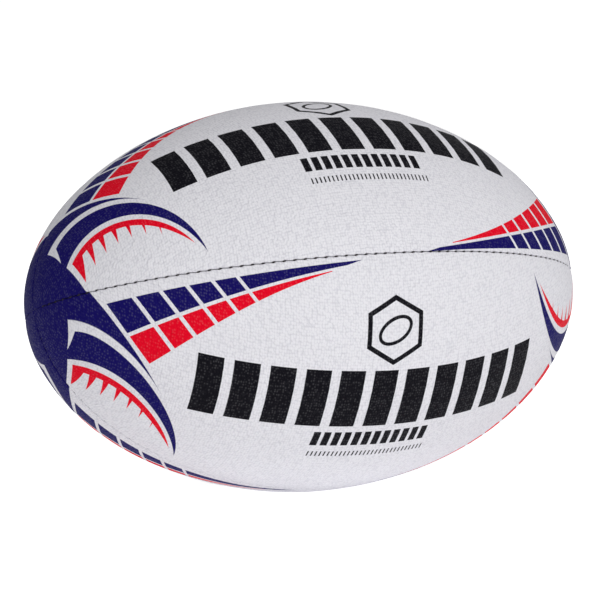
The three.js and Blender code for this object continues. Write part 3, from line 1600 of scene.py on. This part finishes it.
@dataclass
class LiningPly:
    """One ply of cloth behind a cover panel."""

    shape: BallShape
    side: Side
    ply: str
    bonded_to: str
    depth: float
    thickness: float = 0.35 * MM
    seam_margin: float = 2.3 * MM
    facets_across: int = 18
    rows: int = 150
    halvings: int = 40
    bake_share: float = 0.48

    def edge_angle(self, out: float) -> float:
        """Angle from a seam to the ply's edge, at a distance from the ball's axis."""
        return math.asin(min(self.seam_margin / out, math.sqrt(0.5)))

    def ends(self) -> float:
        """Finds the tips of the ply, where its two edges meet.

        Returns:
            The length from the belly to a tip.
        """
        tip = self.seam_margin * math.sqrt(2)
        low, high = 0.0, self.shape.reach
        for _ in range(self.halvings):
            middle = (low + high) / 2
            if self.shape.outline(middle, self.depth)[1] > tip:
                low = middle
            else:
                high = middle
        return low

    def build(self, material: bpy.types.Material) -> bpy.types.Object:
        """Makes the ply.

        Args:
            material: its material.

        Returns:
            The new piece.
        """
        start = self.shape.start(self.side)
        reach = self.ends()
        across = self.facets_across
        columns = 2 * across + 2

        def along(row: int) -> float:
            """Length from the belly to a row of corners."""
            return reach * math.sin(QUARTER * (2 * row / self.rows - 1))

        def spot(column: int, row: int) -> Corner:
            """Finds a corner's place on the ball.

            Args:
                column: its column.
                row: its row.

            Returns:
                Its angle from the first seam and its depth.
            """
            column %= columns
            outside = column <= across
            depth = self.depth if outside else self.depth + self.thickness
            share = column / across if outside else (columns - 1 - column) / across
            low = self.edge_angle(self.shape.outline(along(row), depth)[1])
            return low + (QUARTER - 2 * low) * share, depth

        def place(column: int, row: int) -> Vector:
            """Position of a corner."""
            angle, depth = spot(column, row)
            return self.shape.point(along(row), start + angle, depth)

        def panel_map(_: int, column: int, row: int) -> Corner:
            """Length from the belly and height above the midline, on the cut cloth."""
            girth = self.shape.outline(along(row))[1]
            return along(row), girth * (QUARTER / 2 - spot(column, row)[0])

        def bake_map(face_column: int, column: int, row: int) -> Corner:
            """Places a face's corner in a baked picture, with the outside above the inside.

            Args:
                face_column: column of the face.
                column: column of the corner.
                row: row of the corner.

            Returns:
                The place in the picture's square.
            """
            strip = self.bake_share / (across + 1)
            if face_column <= across:
                return row / self.rows, 1 - self.bake_share + strip * column
            return row / self.rows, strip * (columns - column)

        maps = {"PanelMap": panel_map, "OFBake": bake_map}
        bm = wrapped_grid(columns, self.rows, place, maps)
        name = f"{self.side.label}_{self.ply}_lining_ply"
        node = f"{self.ply}_lining_ply_{self.side.label}"
        piece = new_piece(name, bm, [material], node)
        widths = self.cut_widths(reach)
        area = 2 * reach * sum(widths) / len(widths)
        flat = (max(widths), 2 * reach)
        held_by = f"{self.side.label}_{self.bonded_to}"
        return piece

    def cut_widths(self, reach: float) -> list[float]:
        """Widths of the flat cloth, in even steps from tip to tip.

        Args:
            reach: length from the belly to a tip.

        Returns:
            The widths.
        """
        widths: list[float] = []
        for row in range(self.rows + 1):
            out = self.shape.outline(reach * (2 * row / self.rows - 1), self.depth)[1]
            widths.append(out * (QUARTER - 2 * self.edge_angle(out)))
        return widths


@dataclass
class Bladder:
    """The airtight rubber bag, with the fine ribs where the halves of its mould met."""

    shape: BallShape
    depth: float = 4.9 * MM
    thickness: float = 0.9 * MM
    rib_height: float = 0.15 * MM
    rib_width: float = 0.7 * MM
    facets_along: int = 96
    facets_round: int = 120

    def wall(self, depth: float) -> list[Corner]:
        """Draws one face of the wall, from one point of the ball to the other.

        Args:
            depth: depth of the face.

        Returns:
            Its outline.
        """
        outline: list[Corner] = []
        for step in range(self.facets_along + 1):
            share = math.sin(QUARTER * (2 * step / self.facets_along - 1))
            along, out = self.shape.outline(self.shape.reach * share, depth)
            at_end = step in (0, self.facets_along)
            outline.append((0.0 if at_end else out, along))
        return outline

    def build(self, material: bpy.types.Material) -> bpy.types.Object:
        """Makes the bladder.

        Args:
            material: its material.

        Returns:
            The new piece.
        """
        bm = bmesh.new()
        spin_outline(bm, self.wall(self.depth), self.facets_round)
        outer = list(bm.verts)
        inner = spin_outline(bm, self.wall(self.depth + self.thickness), self.facets_round)
        bmesh.ops.reverse_faces(bm, faces=inner)
        for vert in outer:
            out = math.hypot(vert.co.x, vert.co.y)
            if out > self.rib_width:
                from_rib = abs(vert.co.y)
                lift = self.rib_height * math.exp(-((from_rib / self.rib_width) ** 2))
                scale = 1 + lift / out
                vert.co.x *= scale
                vert.co.y *= scale
        turn = Matrix.Rotation(QUARTER, 4, "Y")
        bmesh.ops.transform(bm, matrix=turn, verts=bm.verts)
        return new_piece("bladder_bag", bm, [material], "bladder")


@dataclass
class Valve:
    """The stem with its flange, the slit core in it, and the patch that strengthens the lining.

    Outlines are given as the distance from the valve's axis and the height above the outside.
    """

    shape: BallShape
    from_seam: float = 17 * MM
    stem_radius: float = 4.5 * MM
    stem_end: float = 24.3 * MM
    recess: float = 0.3 * MM
    face_thickness: float = 2.4 * MM
    needle_radius: float = 0.9 * MM
    bore_radius: float = 2.5 * MM
    flange_radius: float = 13 * MM
    flange_depth: float = 6.1 * MM
    flange_thickness: float = 1.2 * MM
    core_radius: float = 2.2 * MM
    core_depth: float = 3.0 * MM
    core_length: float = 15 * MM
    slit_width: float = 2.2 * MM
    slit_gap: float = 0.4 * MM
    slit_end: float = 2 * MM
    patch_radius: float = 11 * MM
    patch_depth: float = 3.45 * MM
    patch_thickness: float = 0.7 * MM
    hole_radius: float = 4.9 * MM
    hole_fold: float = 0.5 * MM
    hole_lip: float = 1.6
    hole_facets: int = 5
    drill_depth: float = 8 * MM
    mouth_depth: float = 0.5 * MM
    mouth_flare: float = 0.55 * MM
    ring_middle: float = 3.1 * MM
    ring_height: float = 0.22 * MM
    ring_half_top: float = 0.15 * MM
    ring_half_foot: float = 0.5 * MM
    rim_taper: float = 0.35 * MM
    rim_foot: float = 0.2 * MM
    end_rise: float = 1 * MM
    end_chamfer: float = 0.4 * MM
    body_rounding: float = 0.3 * MM
    core_rounding: float = 0.35 * MM
    patch_bulge: float = 0.15 * MM
    patch_rings: int = 6
    seat_margin: float = 1.02
    facets: int = 64

    def __post_init__(self) -> None:
        """Finds the valve's frame: its height runs out of the ball and its first axis along it."""
        self.angle = self.shape.start(Side.BACK) + self.from_seam / self.shape.radius
        out = Vector((0.0, math.cos(self.angle), math.sin(self.angle)))
        along = Vector((1.0, 0.0, 0.0))
        across = out.cross(along)
        frame_axes = Matrix((along, across, out)).transposed().to_4x4()
        self.matrix = Matrix.Translation(out * self.shape.radius) @ frame_axes

    def seat(self, bm: bmesh.types.BMesh) -> None:
        """Moves a mesh from the valve's frame into the ball and lays its wide parts along the skin.

        Args:
            bm: the mesh, which is changed.
        """
        for vert in bm.verts:
            along, across, height = vert.co
            if math.hypot(along, across) > self.stem_radius * self.seat_margin:
                angle = self.angle + across / (self.shape.radius + height)
                vert.co = self.shape.point(along, angle, -height)
            else:
                vert.co = self.matrix @ vert.co

    def patch_outline(self) -> list[Corner]:
        """Draws the patch's section.

        Returns:
            Its outline, closed.
        """
        top, bottom = self.patch_depth, self.patch_depth + self.patch_thickness
        step = (self.patch_radius - self.hole_radius) / self.patch_rings
        radii = [self.hole_radius + step * ring for ring in range(self.patch_rings + 1)]
        upper = [(radius, -top) for radius in radii]
        lower = [(radius, -bottom) for radius in reversed(radii)]
        bulge = [(self.patch_radius + self.patch_bulge, -(top + bottom) / 2)]
        return upper + bulge + lower + upper[:1]

    def body(self, material: bpy.types.Material) -> bpy.types.Object:
        """Makes the stem and its flange.

        Args:
            material: their material.

        Returns:
            The new piece.
        """
        face, blind = -self.recess, -(self.recess + self.face_thickness)
        flange_top, flange_foot = -self.flange_depth, -(self.flange_depth + self.flange_thickness)
        ring_top = face + self.ring_height
        head: list[Corner] = [
            (self.bore_radius, -self.stem_end),
            (self.bore_radius, blind),
            (self.needle_radius, blind),
            (self.needle_radius, face - self.mouth_depth),
            (self.needle_radius + self.mouth_flare, face),
            (self.ring_middle - self.ring_half_foot, face),
            (self.ring_middle - self.ring_half_top, ring_top),
            (self.ring_middle + self.ring_half_top, ring_top),
            (self.ring_middle + self.ring_half_foot, face),
            (self.stem_radius, face),
            (self.stem_radius, flange_top),
        ]
        rim: list[Corner] = [
            (self.flange_radius * 0.5, flange_top),
            (self.flange_radius * 0.75, flange_top),
            (self.flange_radius, flange_top - self.rim_taper),
            (self.flange_radius, flange_foot + self.rim_foot),
            (self.flange_radius * 0.75, flange_foot),
            (self.flange_radius * 0.5, flange_foot),
            (self.stem_radius, flange_foot),
            (self.stem_radius, -self.stem_end + self.end_rise),
            (self.stem_radius - self.end_chamfer, -self.stem_end),
            (self.bore_radius, -self.stem_end),
        ]
        bm = bmesh.new()
        spin_outline(bm, rounded(head + rim, self.body_rounding), self.facets)
        self.seat(bm)
        return new_piece("valve_stem", bm, [material], "valve_body")

    def core(self, material: bpy.types.Material) -> bpy.types.Object:
        """Makes the slit plug in the stem.

        Args:
            material: its material.

        Returns:
            The new piece.
        """
        top, bottom = -self.core_depth, -(self.core_depth + self.core_length)
        radius = self.core_radius
        outline = [(0.0, top), (radius, top), (radius, bottom), (0.0, bottom)]
        bm = bmesh.new()
        spin_outline(bm, rounded(outline, self.core_rounding), self.facets // 2)
        self.seat(bm)
        piece = new_piece("valve_plug", bm, [material], "valve_core")
        slit = bmesh.new()
        slit_length = self.core_length + self.slit_end
        sizes = Matrix.Diagonal((self.slit_width, self.slit_gap, slit_length, 1))
        middle = Matrix.Translation((0, 0, (top + bottom) / 2))
        bmesh.ops.create_cube(slit, size=1, matrix=self.matrix @ middle @ sizes)
        cut_out(piece, slit)
        return piece

    def patch(self, material: bpy.types.Material) -> bpy.types.Object:
        """Makes the patch behind the lining.

        Args:
            material: its material.

        Returns:
            The new piece.
        """
        bm = bmesh.new()
        spin_outline(bm, self.patch_outline(), self.facets)
        layer = bm.loops.layers.uv.new("PanelMap")
        for face in bm.faces:
            for loop in face.loops:
                loop[layer].uv = loop.vert.co.xy
        self.seat(bm)
        piece = new_piece("valve_hole_patch", bm, [material], "valve_patch")
        lining = f"{Side.BACK.label}_inner_lining_ply"
        return piece

    def drill(self, folded: bool) -> bmesh.types.BMesh:
        """Space of the hole that the stem passes through.

        Args:
            folded: whether the hole's edge is rounded off, as in the cover.

        Returns:
            A closed mesh.
        """
        radius, fold = self.hole_radius, self.hole_fold
        outline: list[Corner] = [(0.0, -self.drill_depth), (radius, -self.drill_depth)]
        if folded:
            for step in range(self.hole_facets + 1):
                bend = QUARTER * step / self.hole_facets
                outline.append((radius + fold * (1 - math.cos(bend)), fold * (math.sin(bend) - 1)))
            outline += [(radius + self.hole_lip * fold, fold), (0.0, fold)]
        else:
            outline += [(radius, 0.0), (0.0, 0.0)]
        bm = bmesh.new()
        faces = spin_outline(bm, outline, self.facets)
        for face in faces:
            face.material_index = 1 if folded else 0
        bmesh.ops.transform(bm, matrix=self.matrix, verts=bm.verts)
        return bm


@dataclass
class RugbyBall:
    """The whole ball, layer by layer."""

    shape: BallShape = field(default_factory=BallShape)
    stitching: Stitching = field(default_factory=Stitching)
    lays: dict[Side, PrintLay] = field(
        default_factory=lambda: {Side.TOP: PrintLay(turn=4.2, twist=0.022, width_share=0.94)}
    )
    ply_depths: dict[str, float] = field(
        default_factory=lambda: {"outer": 1.5 * MM, "middle": 2.15 * MM, "inner": 2.8 * MM}
    )

    def build(self) -> None:
        """Makes every piece of the ball."""
        printed = PrintedCover().material()
        pressed = ClothPressedRubber().material()
        cloth = LiningCloth().material()
        thread = WaxedThread().material()
        bag = MouldedRubber(name="bladder_rubber", roughness=0.42).material()
        plug = MouldedRubber(name="valve_rubber", roughness=0.5, dustiness=0.12).material()
        valve = Valve(self.shape)
        for side in Side:
            lay = self.lays.get(side, PrintLay())
            panel = CoverPanel(self.shape, self.stitching, side, lay).build(printed, pressed)
            if side is Side.BACK:
                cut_out(panel, valve.drill(True))
            SeamThread(self.shape, self.stitching, side).build(thread)
            bonded_to = "cover_panel"
            for ply, depth in self.ply_depths.items():
                lining = LiningPly(self.shape, side, ply, bonded_to, depth).build(cloth)
                bonded_to = f"{ply}_lining_ply"
                if side is Side.BACK:
                    cut_out(lining, valve.drill(False))
        cut_out(Bladder(self.shape).build(bag), valve.drill(False))
        valve.body(plug)
        valve.core(plug)
        valve.patch(cloth)


# ---- The studio --------------------------------------------------------------------------------


@dataclass
class Studio:
    """Pale floor, soft lamps and the camera."""

    floor_level: float = -95.5 * MM
    floor_size: float = 60.0
    turn: float = 27.5
    elevation: float = 5.71
    distance: float = 1.551
    aim_right: float = -2.46 * MM
    aim_up: float = -1.65 * MM
    lens: float = 189.7
    sensor_width: float = 36.0
    view_limit: float = 200.0
    world_light: float = 0.3
    floor_glow: float = 0.4
    shown_glow: float = 0.8
    floor_tone: float = 0.9
    floor_roughness: float = 0.9
    floor_gloss: float = 0.1

    def axes(self) -> tuple[Vector, Vector, Vector]:
        """Works out which way the camera looks.

        Returns:
            Its directions to the right, up and ahead.
        """
        turn, dip = math.radians(self.turn), math.radians(self.elevation)
        level = math.cos(dip)
        ahead = Vector((math.sin(turn) * level, math.cos(turn) * level, -math.sin(dip)))
        right = ahead.cross(Vector((0, 0, 1))).normalized()
        return right, right.cross(ahead), ahead

    def camera(self) -> None:
        """Places the camera."""
        right, up, ahead = self.axes()
        data = bpy.data.cameras.new("camera")
        data.lens = self.lens
        data.sensor_width = self.sensor_width
        data.clip_end = self.view_limit
        camera = bpy.data.objects.new("camera", data)
        aim = right * self.aim_right + up * self.aim_up
        rotation = Matrix((right, up, -ahead)).transposed().to_4x4()
        camera.matrix_world = Matrix.Translation(aim - ahead * self.distance) @ rotation
        bpy.context.scene.collection.objects.link(camera)
        bpy.context.scene.camera = camera

    def lamp(self, name: str, towards: Vector, distance: float, size: float, power: float) -> None:
        """Places a soft square lamp that faces the ball.

        Args:
            name: name of the lamp.
            towards: direction of the lamp from the ball.
            distance: its distance.
            size: length of its side.
            power: its power in watts.
        """
        data = bpy.data.lights.new(name, "AREA")
        data.size = size
        data.energy = power
        lamp = bpy.data.objects.new(name, data)
        place = towards.normalized() * distance
        lamp.location = place
        lamp.rotation_euler = (-place).to_track_quat("-Z", "Y").to_euler()
        bpy.context.scene.collection.objects.link(lamp)

    def shown_or_lit(self, graph: Graph, shown: float, lit: float) -> Field:
        """Tells what the camera sees of a surface from the light that the surface gives.

        Args:
            graph: graph of its material or of the world.
            shown: brightness that the camera sees.
            lit: brightness that lights the ball.

        Returns:
            The brightness.
        """
        seen = Field(graph, graph.node("LightPath").outputs["Is Camera Ray"])
        return seen * (shown - lit) + lit

    def floor(self) -> None:
        """Lays the floor."""
        bm = bmesh.new()
        level = Matrix.Translation((0, 0, self.floor_level))
        bmesh.ops.create_grid(bm, x_segments=1, y_segments=1, size=self.floor_size, matrix=level)
        mesh = bpy.data.meshes.new("floor")
        bm.to_mesh(mesh)
        bm.free()
        made = bpy.data.materials.new("pale_floor")
        made.use_nodes = True
        graph = Graph(made.node_tree)
        shader = made.node_tree.nodes["Principled BSDF"]
        graph.put(shader.inputs["Base Color"], (self.floor_tone,) * 3)
        graph.put(shader.inputs["Roughness"], self.floor_roughness)
        graph.put(shader.inputs["Specular IOR Level"], self.floor_gloss)
        graph.put(shader.inputs["Emission Color"], (1.0, 1.0, 1.0))
        glow = self.shown_or_lit(graph, self.shown_glow, self.floor_glow)
        graph.put(shader.inputs["Emission Strength"], glow)
        mesh.materials.append(made)
        floor = bpy.data.objects.new("floor", mesh)
        bpy.context.scene.collection.objects.link(floor)

    def build(self) -> None:
        """Sets up the whole studio."""
        scene = bpy.context.scene
        scene.view_settings.view_transform = "Standard"
        world = bpy.data.worlds.new("studio")
        world.use_nodes = True
        graph = Graph(world.node_tree)
        background = world.node_tree.nodes["Background"]
        graph.put(background.inputs["Color"], (1.0, 1.0, 1.0))
        graph.put(background.inputs["Strength"], self.shown_or_lit(graph, 1.0, self.world_light))
        scene.world = world
        right, up, ahead = self.axes()
        key, fill = -ahead + right * 0.5 + up * 0.75, -ahead - right * 0.7 + up * 0.1
        self.lamp("key_lamp", key, distance=2.4, size=1.6, power=30)
        self.lamp("fill_lamp", fill, distance=2.4, size=1.8, power=1.5)
        self.lamp("floor_lamp", Vector((0.1, 0.3, 1.0)), distance=2.6, size=2.4, power=1.5)
        self.lamp("back_lamp", ahead + up * 0.25, distance=2.4, size=1.8, power=5)
        self.floor()
        self.camera()
        LOG.info("studio: floor, lamps and camera")


def main() -> None:
    """Builds the ball and the studio."""
    logging.basicConfig(level=logging.INFO, format="%(name)s: %(message)s")
    RugbyBall().build()
    Studio().build()


if __name__ == "__main__":
    main()
